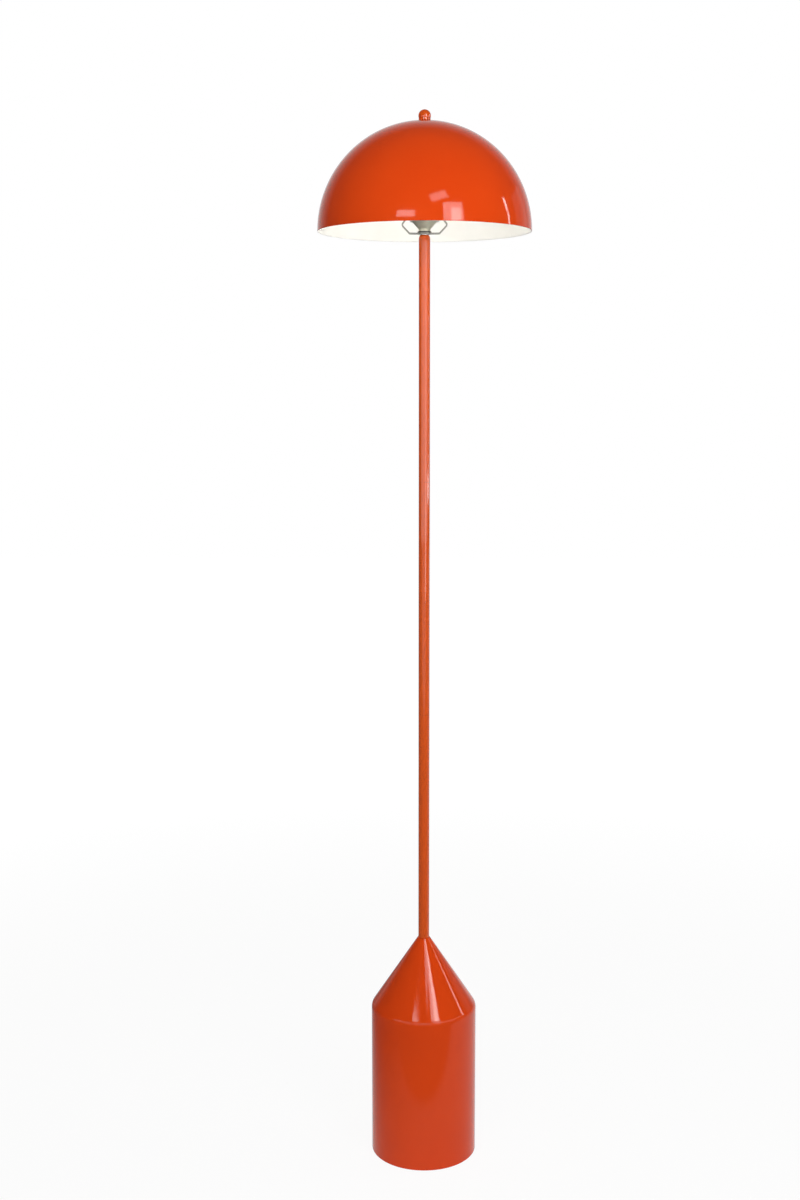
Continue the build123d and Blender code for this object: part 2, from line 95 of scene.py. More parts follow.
floor_drop = 0.0003
floor_half = 8.0
white_from = 0.7
white_at = 2.6
floor_whiteness = 0.91
background_strength = 1.02
sheet_front = -0.27
# How far to the lamp's left the floor, as the gloss shows it, fades darker: a painted shadow.
shadow_left_reach = 0.45
sheet_blur = 0.05
sheet_reach = 1.1
sheet_even_share = 0.8
sheet_white = (0.84, 0.84, 0.83, 1)
sheet_sheen = 0.85
floor_sheen = 0.22
dull_floor = 0.36
soft_fill = 0.27
dim_room = 0.09
backdrop_gloss = 0.8
backdrop_side = 0.58
backdrop_middle = 0.95

glow_colour = (1.0, 0.97, 0.92)
glow_energy = 0.51
glow_radius = 0.021


def photograph_camera():
    """The camera at the photograph's viewing angle, level with the upper pole and looking down a little."""
    data = bpy.data.cameras.new("camera")
    data.lens = camera_lens
    data.sensor_width = 36.0
    camera = bpy.data.objects.new("camera", data)
    bpy.context.scene.collection.objects.link(camera)
    camera.location = (0, -camera_distance, camera_height)
    camera.rotation_euler = (radians(90 - camera_pitch), radians(camera_roll), radians(camera_yaw))
    bpy.context.scene.camera = camera


def softbox(name, turn, distance, low, high, width, brightness, tilt=0.0):
    """A lit panel in metres, turned so many degrees from the front towards the right, facing the lamp."""
    height = high - low
    data = bpy.data.lights.new(name, "AREA")
    data.shape = "RECTANGLE"
    data.size = width
    data.size_y = height
    data.energy = pi * width * height * brightness
    panel = bpy.data.objects.new(name, data)
    bpy.context.scene.collection.objects.link(panel)
    angle = radians(turn)
    panel.location = (distance * sin(angle), -distance * cos(angle), (low + high) / 2)
    panel.rotation_mode = "QUATERNION"
    upright = Quaternion((1, 0, 0), radians(90))
    turned = Quaternion((0, 0, 1), angle)
    in_plane = Quaternion((0, 0, 1), radians(tilt))
    panel.rotation_quaternion = turned @ upright @ in_plane
    panel.visible_camera = False
    return panel


def studio_lights():
    """The panels that light the lamp, and paler ones that only show in its gloss, as pale walls would."""
    softbox("main_panel", 29.2, 1.60, 0.62, 2.045, 0.587, 3.9)
    softbox("slanted_panel", 15.7, 2.20, 2.437, 2.833, 0.748, 7.0, tilt=20)
    softbox("small_panel", -19.0, 1.80, 1.66, 1.865, 0.60, 10.0)
    softbox("edge_strip_low", 97.9, 2.00, 0.90, 1.86, 0.085, 14.5)
    softbox("edge_strip_foot", 85.0, 2.00, 0.835, 0.90, 0.975, 13.0)
    for name, turn, distance, low, high, width, brightness in (
        ("edge_strip", 96.6, 2.00, 1.885, 2.22, 0.10, 17.0),
        ("main_panel_sheen", 29.2, 1.595, 1.50, 2.045, 0.587, 5.8),
        ("main_panel_middle", 32.0, 1.59, 1.50, 1.86, 0.28, 11.0),
        ("front_wall", -4.0, 3.0, 0.62, 1.65, 2.1, 2.4),
        ("left_wall", -46.0, 3.0, 0.62, 1.65, 2.3, 2.1),
        ("right_wall", 50.0, 3.0, 0.62, 1.65, 2.4, 1.9),
        ("low_wall", 0.0, 3.0, 0.02, 0.60, 5.0, 0.8),
        ("right_back_wall", 124.0, 2.5, 0.60, 2.40, 1.1, 0.35),
    ):
        softbox(name, turn, distance, low, high, width, brightness).visible_diffuse = False
    softbox("front_light", -14.0, 3.00, 0.85, 2.60, 2.4, 1.9).visible_glossy = False
    softbox("back_light", 180.0, 3.00, 0.50, 2.50, 2.4, 0.6).visible_glossy = False


def wire_up(tree, source, socket, target, target_socket):
    tree.links.new(source.outputs[socket], target.inputs[target_socket])


def operation(tree, kind, name):
    """A maths or vector node that is set to one operation."""
    node = tree.nodes.new(kind)
    node.operation = name
    return node


def map_range(tree, low, high, to_low=0.0, to_high=1.0):
    """A node that stretches the values from low to high over another span."""
    node = tree.nodes.new("ShaderNodeMapRange")
    for socket, value in (("From Min", low), ("From Max", high), ("To Min", to_low), ("To Max", to_high)):
        node.inputs[socket].default_value = value
    return node


def seen_rays(tree):
    """1 for what the camera sees straight, in a gloss or through glass, and 0 for soft light."""
    paths = tree.nodes.new("ShaderNodeLightPath")
    straight_or_gloss = operation(tree, "ShaderNodeMath", "MAXIMUM")
    seen = operation(tree, "ShaderNodeMath", "MAXIMUM")
    wire_up(tree, paths, "Is Camera Ray", straight_or_gloss, 0)
    wire_up(tree, paths, "Is Glossy Ray", straight_or_gloss, 1)
    wire_up(tree, straight_or_gloss, 0, seen, 0)
    wire_up(tree, paths, "Is Transmission Ray", seen, 1)
    return seen


def white_backdrop():
    """The world: white to the eye, a backdrop behind the lamp in its gloss, and a soft even fill."""
    world = bpy.data.worlds.new("white_backdrop")
    world.use_nodes = True
    tree = world.node_tree
    tree.nodes.clear()
    fill = tree.nodes.new("ShaderNodeBackground")
    fill.inputs["Strength"].default_value = soft_fill
    white = tree.nodes.new("ShaderNodeBackground")
    for light in (fill, white):
        light.inputs["Color"].default_value = (1, 1, 1, 1)
    way = tree.nodes.new("ShaderNodeTexCoord")
    parts = tree.nodes.new("ShaderNodeSeparateXYZ")
    behind = map_range(tree, backdrop_side, backdrop_middle, dim_room, backdrop_gloss)
    paths = tree.nodes.new("ShaderNodeLightPath")
    strength = operation(tree, "ShaderNodeMath", "MAXIMUM")
    mix = tree.nodes.new("ShaderNodeMixShader")
    out = tree.nodes.new("ShaderNodeOutputWorld")
    wire_up(tree, way, "Generated", parts, 0)
    wire_up(tree, parts, "Y", behind, "Value")
    wire_up(tree, behind, "Result", strength, 0)
    wire_up(tree, paths, "Is Camera Ray", strength, 1)
    wire_up(tree, strength, 0, white, "Strength")
    wire_up(tree, seen_rays(tree), 0, mix, 0)
    wire_up(tree, fill, 0, mix, 1)
    wire_up(tree, white, 0, mix, 2)
    wire_up(tree, mix, 0, out, "Surface")
    bpy.context.scene.world = world


def pale_floor():
    """The floor: white to the eye, with the lamp's soft shadow.

    The lamp stands near the front edge of a white sheet. In the lamp's gloss the sheet fades darker to
    its left: a painted shadow of the lamp. Only the lamp's gloss and the light thrown back at it tell
    the sheet from the duller floor round it.
    """
    bpy.ops.object.select_all(action="DESELECT")
    bpy.ops.mesh.primitive_plane_add(size=2 * floor_half, location=(0, 0, -floor_drop))
    floor = bpy.context.object
    floor.name = "floor"
    material = bpy.data.materials.new("pale_floor")
    material.use_nodes = True
    tree = material.node_tree
    tree.nodes.clear()
    place = tree.nodes.new("ShaderNodeTexCoord")
    parts = tree.nodes.new("ShaderNodeSeparateXYZ")
    reach = operation(tree, "ShaderNodeVectorMath", "LENGTH")
    far = map_range(tree, white_from, white_at, floor_whiteness, 1.0)
    far.interpolation_type = "SMOOTHSTEP"
    front_edge = map_range(tree, sheet_front - sheet_blur, sheet_front)
    round_edge = map_range(tree, sheet_reach, sheet_even_share * sheet_reach)
    on_sheet = operation(tree, "ShaderNodeMath", "MULTIPLY")
    dull = tree.nodes.new("ShaderNodeBsdfDiffuse")
    dull.inputs["Color"].default_value = (dull_floor, dull_floor, dull_floor, 1)
    pale = tree.nodes.new("ShaderNodeBsdfDiffuse")
    pale.inputs["Color"].default_value = sheet_white
    lit = tree.nodes.new("ShaderNodeMixShader")
    plain_white = tree.nodes.new("ShaderNodeEmission")
    plain_white.inputs["Strength"].default_value = background_strength
    # Painted shadow: the floor that the gloss shows darkens towards the lamp's left.
    painted_shadow_left = map_range(tree, -shadow_left_reach, 0.0)
    bright = operation(tree, "ShaderNodeMath", "MULTIPLY")
    sheen = map_range(tree, 0.0, 1.0, floor_sheen, sheet_sheen)
    mirrored = tree.nodes.new("ShaderNodeEmission")
    looks = tree.nodes.new("ShaderNodeMixShader")
    paths = tree.nodes.new("ShaderNodeLightPath")
    in_gloss = tree.nodes.new("ShaderNodeMixShader")
    seen = tree.nodes.new("ShaderNodeMixShader")
    below = tree.nodes.new("ShaderNodeNewGeometry")
    clear = tree.nodes.new("ShaderNodeBsdfTransparent")
    one_sided = tree.nodes.new("ShaderNodeMixShader")
    out = tree.nodes.new("ShaderNodeOutputMaterial")
    wire_up(tree, place, "Object", reach, 0)
    wire_up(tree, place, "Object", parts, 0)
    wire_up(tree, reach, "Value", far, "Value")
    wire_up(tree, reach, "Value", round_edge, "Value")
    wire_up(tree, parts, "Y", front_edge, "Value")
    wire_up(tree, front_edge, "Result", on_sheet, 0)
    wire_up(tree, round_edge, "Result", on_sheet, 1)
    wire_up(tree, on_sheet, 0, lit, 0)
    wire_up(tree, dull, 0, lit, 1)
    wire_up(tree, pale, 0, lit, 2)
    wire_up(tree, parts, "X", painted_shadow_left, "Value")
    wire_up(tree, front_edge, "Result", bright, 0)
    wire_up(tree, painted_shadow_left, "Result", bright, 1)
    wire_up(tree, bright, 0, sheen, "Value")
    wire_up(tree, sheen, "Result", mirrored, "Strength")
    wire_up(tree, far, "Result", looks, 0)
    wire_up(tree, pale, 0, looks, 1)
    wire_up(tree, plain_white, 0, looks, 2)
    wire_up(tree, paths, "Is Glossy Ray", in_gloss, 0)
    wire_up(tree, looks, 0, in_gloss, 1)
    wire_up(tree, mirrored, 0, in_gloss, 2)
    wire_up(tree, seen_rays(tree), 0, seen, 0)
    wire_up(tree, lit, 0, seen, 1)
    wire_up(tree, in_gloss, 0, seen, 2)
    wire_up(tree, below, "Backfacing", one_sided, 0)
    wire_up(tree, seen, 0, one_sided, 1)
    wire_up(tree, clear, 0, one_sided, 2)
    wire_up(tree, one_sided, 0, out, "Surface")
    floor.data.materials.append(material)


# ---- effects that several finishes share ----


def effect_group(name, inputs, output, output_kind):
    """An empty node group with named inputs, and the one thing that it puts out."""
    tree = bpy.data.node_groups.new(name, "ShaderNodeTree")
    for socket, kind, value in inputs:
        tree.interface.new_socket(socket, in_out="INPUT", socket_type=kind).default_value = value
    tree.interface.new_socket(output, in_out="OUTPUT", socket_type=output_kind)
    return tree, tree.nodes.new("NodeGroupInput"), tree.nodes.new("NodeGroupOutput")


def object_noise(tree, detail=2.0):
    """Noise laid out on the object's own coordinates."""
    place = tree.nodes.new("ShaderNodeTexCoord")
    noise = tree.nodes.new("ShaderNodeTexNoise")
    noise.inputs["Detail"].default_value = detail
    wire_up(tree, place, "Object", noise, "Vector")
    return noise


def cloudy_colour_group():
    """Two near shades of a colour, drifting into each other."""
    tree, given, out = effect_group(
        "cloudy_colour",
        [("Shade A", "NodeSocketColor", (1, 1, 1, 1)), ("Shade B", "NodeSocketColor", (1, 1, 1, 1)),
         ("Patches per metre", "NodeSocketFloat", 12.0)],
        "Colour", "NodeSocketColor",
    )
    noise = object_noise(tree, 3.0)
    spread = map_range(tree, 0.35, 0.65)
    mix = tree.nodes.new("ShaderNodeMix")
    mix.data_type = "RGBA"
    wire_up(tree, given, "Patches per metre", noise, "Scale")
    wire_up(tree, noise, "Fac", spread, "Value")
    wire_up(tree, spread, "Result", mix, 0)
    wire_up(tree, given, "Shade A", mix, 6)
    wire_up(tree, given, "Shade B", mix, 7)
    wire_up(tree, mix, 2, out, "Colour")
    return tree


def fine_range_group():
    """A value that wanders between two limits, for a gloss that isn't quite even."""
    tree, given, out = effect_group(
        "wandering_value",
        [("Low", "NodeSocketFloat", 0.2), ("High", "NodeSocketFloat", 0.3),
         ("Patches per metre", "NodeSocketFloat", 60.0)],
        "Value", "NodeSocketFloat",
    )
    noise = object_noise(tree, 4.0)
    spread = map_range(tree, 0.3, 0.7)
    wire_up(tree, given, "Patches per metre", noise, "Scale")
    wire_up(tree, noise, "Fac", spread, "Value")
    wire_up(tree, given, "Low", spread, "To Min")
    wire_up(tree, given, "High", spread, "To Max")
    wire_up(tree, spread, "Result", out, "Value")
    return tree


def grain_group():
    """Fine bumps, stretched along the height by a factor under 1 or along the turning by one over 1."""
    tree, given, out = effect_group(
        "fine_grain",
        [("Bumps per metre", "NodeSocketFloat", 500.0), ("Depth in metres", "NodeSocketFloat", 0.00005),
         ("Strength", "NodeSocketFloat", 0.5), ("Stretch", "NodeSocketVector", (1, 1, 1))],
        "Normal", "NodeSocketVector",
    )
    place = tree.nodes.new("ShaderNodeTexCoord")
    stretched = operation(tree, "ShaderNodeVectorMath", "MULTIPLY")
    noise = tree.nodes.new("ShaderNodeTexNoise")
    noise.inputs["Detail"].default_value = 2.0
    bump = tree.nodes.new("ShaderNodeBump")
    wire_up(tree, place, "Object", stretched, 0)
    wire_up(tree, given, "Stretch", stretched, 1)
    wire_up(tree, stretched, "Vector", noise, "Vector")
    wire_up(tree, given, "Bumps per metre", noise, "Scale")
    wire_up(tree, noise, "Fac", bump, "Height")
    wire_up(tree, given, "Depth in metres", bump, "Distance")
    wire_up(tree, given, "Strength", bump, "Strength")
    wire_up(tree, bump, "Normal", out, "Normal")
    return tree


def edge_wear_and_shade_group():
    """1 along an edge, broken up by noise, found from the rounding of the edge itself: wear, and on the
    orange paint partly a painted shade line.
    """
    tree, given, out = effect_group(
        "edge_wear_and_shade",
        [("Edge width in metres", "NodeSocketFloat", 0.0008), ("Broken up", "NodeSocketFloat", 0.5)],
        "Mask", "NodeSocketFloat",
    )
    rounded = tree.nodes.new("ShaderNodeBevel")
    rounded.samples = 4
    plain = tree.nodes.new("ShaderNodeNewGeometry")
    likeness = operation(tree, "ShaderNodeVectorMath", "DOT_PRODUCT")
    bent = map_range(tree, 0.985, 0.90)
    noise = object_noise(tree, 5.0)
    noise.inputs["Scale"].default_value = 260.0
    holes = operation(tree, "ShaderNodeMath", "GREATER_THAN")
    both = operation(tree, "ShaderNodeMath", "MULTIPLY")
    wire_up(tree, given, "Edge width in metres", rounded, "Radius")
    wire_up(tree, rounded, "Normal", likeness, 0)
    wire_up(tree, plain, "True Normal", likeness, 1)
    wire_up(tree, likeness, "Value", bent, "Value")
    wire_up(tree, noise, "Fac", holes, 0)
    wire_up(tree, given, "Broken up", holes, 1)
    wire_up(tree, bent, "Result", both, 0)
    wire_up(tree, holes, 0, both, 1)
    wire_up(tree, both, 0, out, "Mask")
    return tree


cloudy_colour = cloudy_colour_group()
wandering_value = fine_range_group()
fine_grain = grain_group()
edge_wear_and_shade = edge_wear_and_shade_group()


# ---- finishes ----


def finish(name, shade_a, shade_b, patches, dull, grain, wear_and_shade=None, **plain):
    """A material: cloudy colour, a gloss between two limits, fine grain and, if given, a colour along its
    edges.

    dull is (low, high, patches per metre), grain (bumps per metre, depth, strength, stretch) and the edge
    colour (colour, edge width, broken up), for wear and for painted shade. What else is given is set on the
    surface itself.
    """
    material = bpy.data.materials.new(name)
    material.use_nodes = True
    tree = material.node_tree
    surface = tree.nodes["Principled BSDF"]
    for socket, value in plain.items():
        surface.inputs[socket.replace("_", " ")].default_value = value

    colour = tree.nodes.new("ShaderNodeGroup")
    colour.node_tree = cloudy_colour
    colour.inputs["Shade A"].default_value = (*shade_a, 1)
    colour.inputs["Shade B"].default_value = (*shade_b, 1)
    colour.inputs["Patches per metre"].default_value = patches
    shown = colour.outputs["Colour"]

    gloss = tree.nodes.new("ShaderNodeGroup")
    gloss.node_tree = wandering_value
    gloss.inputs["Low"].default_value, gloss.inputs["High"].default_value = dull[:2]
    gloss.inputs["Patches per metre"].default_value = dull[2]
    tree.links.new(gloss.outputs["Value"], surface.inputs["Roughness"])

    bumps = tree.nodes.new("ShaderNodeGroup")
    bumps.node_tree = fine_grain
    for socket, value in zip(("Bumps per metre", "Depth in metres", "Strength", "Stretch"), grain):
        bumps.inputs[socket].default_value = value
    tree.links.new(bumps.outputs["Normal"], surface.inputs["Normal"])

    # Edge colour: wear, and on the orange paint partly painted shade.
    if wear_and_shade:
        wear_and_shade_node = tree.nodes.new("ShaderNodeGroup")
        wear_and_shade_node.node_tree = edge_wear_and_shade
        wear_and_shade_node.inputs["Edge width in metres"].default_value = wear_and_shade[1]
        wear_and_shade_node.inputs["Broken up"].default_value = wear_and_shade[2]
        wear = tree.nodes.new("ShaderNodeMix")
        wear.data_type = "RGBA"
        wear.inputs[7].default_value = (*wear_and_shade[0], 1)
        tree.links.new(wear_and_shade_node.outputs["Mask"], wear.inputs[0])
        tree.links.new(shown, wear.inputs[6])
        shown = wear.outputs[2]
    tree.links.new(shown, surface.inputs["Base Color"])
    return material


even = (1.0, 1.0, 1.0)
drawn_upwards = (1.0, 1.0, 0.06)
turned_round = (0.05, 0.05, 1.0)

# Dark brown along the orange pieces' edges: partly wear down to the primer, partly painted shade that draws a
# dark line round the shade's rim and the base's foot.
primer_and_shade_brown = (0.16, 0.035, 0.012)
orange_paint = finish(
    "orange_paint", (0.80, 0.066, 0.0054), (0.77, 0.061, 0.0049), 9.0,
    (0.05, 0.09, 45.0), (420.0, 0.00004, 0.06, even), (primer_and_shade_brown, 0.0006, 0.52),
    Specular_IOR_Level=0.22,
)
tube_paint = finish(
    "tube_paint", (0.765, 0.098, 0.0075), (0.74, 0.092, 0.0070), 9.0,
    (0.05, 0.09, 45.0), (420.0, 0.00004, 0.06, even), (primer_and_shade_brown, 0.0006, 0.52),
)
white_enamel = finish(
    "white_enamel", (0.86, 0.86, 0.84), (0.83, 0.83, 0.80), 14.0,
    (0.30, 0.42, 60.0), (520.0, 0.00006, 0.18, even), ((0.62, 0.60, 0.55), 0.0006, 0.5),
)
zinc_plate = finish(
    "zinc_plate", (0.56, 0.56, 0.53), (0.44, 0.45, 0.44), 130.0,
    (0.28, 0.42, 300.0), (900.0, 0.00004, 0.25, even), ((0.70, 0.70, 0.68), 0.0005, 0.45),
    Metallic=1.0,
)
dull_nickel = finish(
    "dull_nickel", (0.74, 0.71, 0.56), (0.64, 0.615, 0.48), 140.0,
    (0.34, 0.44, 200.0), (700.0, 0.00003, 0.10, turned_round), ((0.66, 0.64, 0.58), 0.0004, 0.5),
    Metallic=0.5,
)
plated_strip = finish(
    "plated_strip", (0.32, 0.32, 0.29), (0.24, 0.24, 0.22), 90.0,
    (0.28, 0.40, 240.0), (700.0, 0.00004, 0.22, even), ((0.50, 0.49, 0.45), 0.0003, 0.5),
    Metallic=1.0,
)
bright_nickel = finish(
    "bright_nickel", (0.62, 0.60, 0.56), (0.55, 0.53, 0.49), 70.0,
    (0.12, 0.22, 220.0), (900.0, 0.00003, 0.15, drawn_upwards), ((0.72, 0.70, 0.66), 0.0004, 0.5),
    Metallic=1.0,
)
# Near black: painted shade on the nickel lock nut, standing for the dark band under the lampholder cup.
painted_shade_black = finish(
    "painted_shade_black", (0.030, 0.026, 0.023), (0.022, 0.019, 0.017), 120.0,
    (0.30, 0.45, 260.0), (800.0, 0.00005, 0.30, even), ((0.12, 0.11, 0.10), 0.0004, 0.50),
)
yellow_brass = finish(
    "yellow_brass", (0.76, 0.55, 0.24), (0.66, 0.46, 0.19), 100.0,
    (0.20, 0.34, 240.0), (800.0, 0.00004, 0.20, turned_round), ((0.84, 0.66, 0.36), 0.0004, 0.5),
    Metallic=1.0,
)
cast_cement = finish(
    "cast_cement", (0.42, 0.41, 0.38), (0.33, 0.32, 0.30), 35.0,
    (0.80, 0.95, 90.0), (220.0, 0.0006, 0.8, even), ((0.50, 0.49, 0.46), 0.002, 0.45),
)
black_pad = finish(
    "black_pad", (0.030, 0.030, 0.031), (0.040, 0.040, 0.040), 60.0,
    (0.70, 0.85, 120.0), (1500.0, 0.0002, 0.6, even), ((0.10, 0.10, 0.10), 0.0008, 0.55),
)
clear_rubber = finish(
    "clear_rubber", (0.74, 0.73, 0.69), (0.68, 0.66, 0.61), 110.0,
    (0.40, 0.52, 160.0), (900.0, 0.00008, 0.3, even),
    Subsurface_Weight=0.2, Subsurface_Scale=0.002,
)
inlet_plastic = finish(
    "inlet_plastic", (0.74, 0.74, 0.72), (0.69, 0.69, 0.66), 90.0,
    (0.38, 0.50, 150.0), (1100.0, 0.00006, 0.3, even), ((0.82, 0.82, 0.80), 0.0004, 0.5),
)
glazed_ceramic = finish(
    "glazed_ceramic", (0.83, 0.81, 0.77), (0.78, 0.76, 0.71), 80.0,
    (0.14, 0.22, 120.0), (260.0, 0.0001, 0.2, even), ((0.70, 0.66, 0.60), 0.0006, 0.55),
    Coat_Weight=0.4,
)
ivory_plastic = finish(
    "ivory_plastic", (0.80, 0.78, 0.71), (0.76, 0.74, 0.67), 60.0,
    (0.34, 0.46, 140.0), (1000.0, 0.00006, 0.25, even), ((0.86, 0.84, 0.79), 0.0004, 0.5),
)
opal_glass = finish(
    "opal_glass", (0.74, 0.72, 0.67), (0.73, 0.71, 0.66), 40.0,
    (0.22, 0.30, 80.0), (600.0, 0.00003, 0.1, even),
    Emission_Color=(1.0, 0.84, 0.62, 1.0), Emission_Strength=0.08,
)
cap_aluminium = finish(
    "cap_aluminium", (0.36, 0.36, 0.36), (0.29, 0.29, 0.30), 150.0,
    (0.28, 0.40, 300.0), (900.0, 0.00004, 0.25, turned_round), ((0.44, 0.44, 0.44), 0.0003, 0.5),
    Metallic=1.0,
)
black_glass = finish(
    "black_glass", (0.030, 0.028, 0.036), (0.045, 0.042, 0.050), 120.0,
    (0.08, 0.16, 160.0), (400.0, 0.00005, 0.2, even),
)

finish_of_slot = {
    "orange_paint": orange_paint, "zinc_steel": zinc_plate, "nickel": dull_nickel,
    "brass": yellow_brass, "cast_cement": cast_cement, "pad_rubber": black_pad,
    "clear_rubber": clear_rubber, "inlet_plastic": inlet_plastic, "holder_ceramic": glazed_ceramic,
    "holder_plastic": ivory_plastic, "opal_glass": opal_glass, "cap_aluminium": cap_aluminium,
    "cap_insulator": black_glass,
}


def dress_packed_nodes():
    """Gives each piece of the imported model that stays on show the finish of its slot."""
    for row in frame["record"]["subparts"]:
        node = frame["nodes"][row["node"]]
        node.data.materials.clear()
        node.data.materials.append(finish_of_slot[row["material_slot"]])


# ---- the bench: how pieces are drawn ----


def new_piece(name):
    """Names the piece that has just been added."""
    piece = bpy.context.object
    piece.name = name
    piece.data.name = name
    return piece


def turned_about(middle, point, turn):
    """Where a point gets to when it turns about a middle by so many radians."""
    across, up = point[0] - middle[0], point[1] - middle[1]
    c, s = cos(turn), sin(turn)
    return middle[0] + across * c - up * s, middle[1] + across * s + up * c


def corner_arc(at, corner, towards, radius):
    """The arc that rounds a corner on the way to the next point: its start, its middle and its turn."""
    to_x, to_y = corner[0] - at[0], corner[1] - at[1]
    on_x, on_y = towards[0] - corner[0], towards[1] - corner[1]
    turn = atan2(to_x * on_y - to_y * on_x, to_x * on_x + to_y * on_y)
    back = radius * tan(abs(turn) / 2)
    length = hypot(to_x, to_y)
    start = (corner[0] - to_x / length * back, corner[1] - to_y / length * back)
    side = 1 if turn > 0 else -1
    middle = (start[0] - side * to_y / length * radius, start[1] + side * to_x / length * radius)
    return start, middle, turn


class Drawing:
    """An outline on the bench, drawn as radius and height, or across and up, in millimetres."""

    def __init__(self, name, across, up):
        bpy.ops.object.select_all(action="DESELECT")
        bpy.ops.mesh.primitive_plane_add(size=MM)
        self.piece = new_piece(name)
        bpy.ops.object.mode_set(mode="EDIT")
        bpy.ops.mesh.select_all(action="SELECT")
        bpy.ops.mesh.merge(type="CENTER")
        bpy.ops.transform.translate(value=(across * MM, 0, up * MM))
        self.first = self.at = (across, up)

    def line(self, *points):
        for across, up in points:
            step = ((across - self.at[0]) * MM, 0, (up - self.at[1]) * MM)
            bpy.ops.mesh.extrude_region_move(TRANSFORM_OT_translate={"value": step})
            self.at = (across, up)
        return self

    def arc(self, middle, turn, steps=6):
        """An arc about its middle by so many degrees, anticlockwise if positive."""
        bpy.ops.mesh.spin(
            steps=steps, angle=radians(turn), center=(middle[0] * MM, 0, middle[1] * MM), axis=(0, 1, 0)
        )
        self.at = turned_about(middle, self.at, radians(turn))
        return self

    def seal(self):
        """Welds the last point to the first, which the arcs may miss by a hair."""
        bpy.ops.mesh.select_all(action="SELECT")
        bpy.ops.mesh.remove_doubles(threshold=SEAM)
        return self

    def close(self):
        return self.line(self.first).seal()

    def spin(self, steps=96):
        """Turns the outline once round the lamp's axis."""
        bpy.ops.mesh.select_all(action="SELECT")
        bpy.ops.mesh.spin(steps=steps, angle=2 * pi, center=(0, 0, 0), axis=(0, 0, 1))
        return self

    def done(self, **edges):
        return leave_bench(self.piece, **edges)


def tidy_mesh():
    bpy.ops.mesh.select_all(action="SELECT")
    bpy.ops.mesh.remove_doubles(threshold=WELD)
    bpy.ops.mesh.normals_make_consistent(inside=False)


def apply_modifier(piece, name, kind, **settings):
    bpy.context.view_layer.objects.active = piece
    modifier = piece.modifiers.new(name, kind)
    for setting, value in settings.items():
        setattr(modifier, setting, value)
    bpy.ops.object.modifier_apply(modifier=name)


def leave_bench(piece, broken_edge=0.0, segments=2, smooth_below=32, turn_round=False):
    """Closes a piece's seams, breaks its sharp edges and smooths what isn't an edge.

    A deep cup comes out of the recalculation with its faces inwards, and is turned round.
    """
    tidy_mesh()
    bpy.ops.mesh.delete_loose(use_verts=True, use_edges=True, use_faces=False)
    if turn_round:
        bpy.ops.mesh.select_all(action="SELECT")
        bpy.ops.mesh.flip_normals()
    bpy.ops.object.mode_set(mode="OBJECT")
    if broken_edge:
        apply_modifier(
            piece, "broken_edges", "BEVEL", width=broken_edge * MM, segments=segments,
            limit_method="ANGLE", angle_limit=radians(30), use_clamp_overlap=True,
        )
    bpy.ops.object.shade_smooth_by_angle(angle=radians(smooth_below))
    apply_modifier(piece, "even_shading", "WEIGHTED_NORMAL", keep_sharp=True)
    return piece


def combine(piece, tool, how):
    """Joins, cuts or trims a piece with another, which is used up."""
    bpy.ops.object.select_all(action="DESELECT")
    piece.select_set(True)
    apply_modifier(piece, how, "BOOLEAN", operation=how, solver="EXACT", object=tool)
    bpy.data.objects.remove(tool)


def tool_bar(radius, bottom, top, steps=48, across=0.0, along=0.0):
    """A plain round bar for joining or cutting with, upright at a place off the axis."""
    bpy.ops.object.select_all(action="DESELECT")
    bpy.ops.mesh.primitive_cylinder_add(
        vertices=steps, radius=radius * MM, depth=(top - bottom) * MM,
        location=(across * MM, along * MM, (bottom + top) / 2 * MM),
    )
    bar = bpy.context.object
    bpy.ops.object.transform_apply(location=True, rotation=True, scale=True)
    return bar


def back_to_bench(piece):
    bpy.ops.object.select_all(action="DESELECT")
    piece.select_set(True)
    bpy.context.view_layer.objects.active = piece
    bpy.ops.object.mode_set(mode="EDIT")
    bpy.ops.mesh.select_all(action="SELECT")


def lay_towards_back(piece, height):
    """Lays an upright piece down along the lamp's depth, at a height in metres."""
    back_to_bench(piece)
    bpy.ops.transform.rotate(value=radians(90), orient_axis="X", center_override=(0, 0, 0))
    bpy.ops.transform.translate(value=(0, 0, height))
    bpy.ops.object.mode_set(mode="OBJECT")


def put_in_place(piece, body, slot, material, *nodes):
    """Paints a piece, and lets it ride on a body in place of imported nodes."""
    if not piece.data.materials:
        piece.data.materials.append(material)
    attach(piece, body)
    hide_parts(*nodes)


def ring_piece(name, outer, inner, bottom, top, steps=72, broken_edge=0.15):
    """A turned washer or tube."""
    ring = Drawing(name, inner, bottom).line((outer, bottom), (outer, top), (inner, top)).close()
    return ring.spin(steps).done(broken_edge=broken_edge)


# ---- base ----

base_radius = 78.0
shoulder_radius = 14.0
shell_wall = 1.2
spigot_hole_radius = 6.6
hem_radius = 0.6
cone_foot_height = 227.0
cone_tip_radius = 9.0
inlet_hole_radius = 5.1


def rounded_corner(drawing, corner, towards, radius, steps):
    """A line to a corner that is rounded by an arc, heading for the next point."""
    start, middle, turn = corner_arc(drawing.at, corner, towards, radius)
    drawing.line(start).arc(middle, degrees(turn), steps)


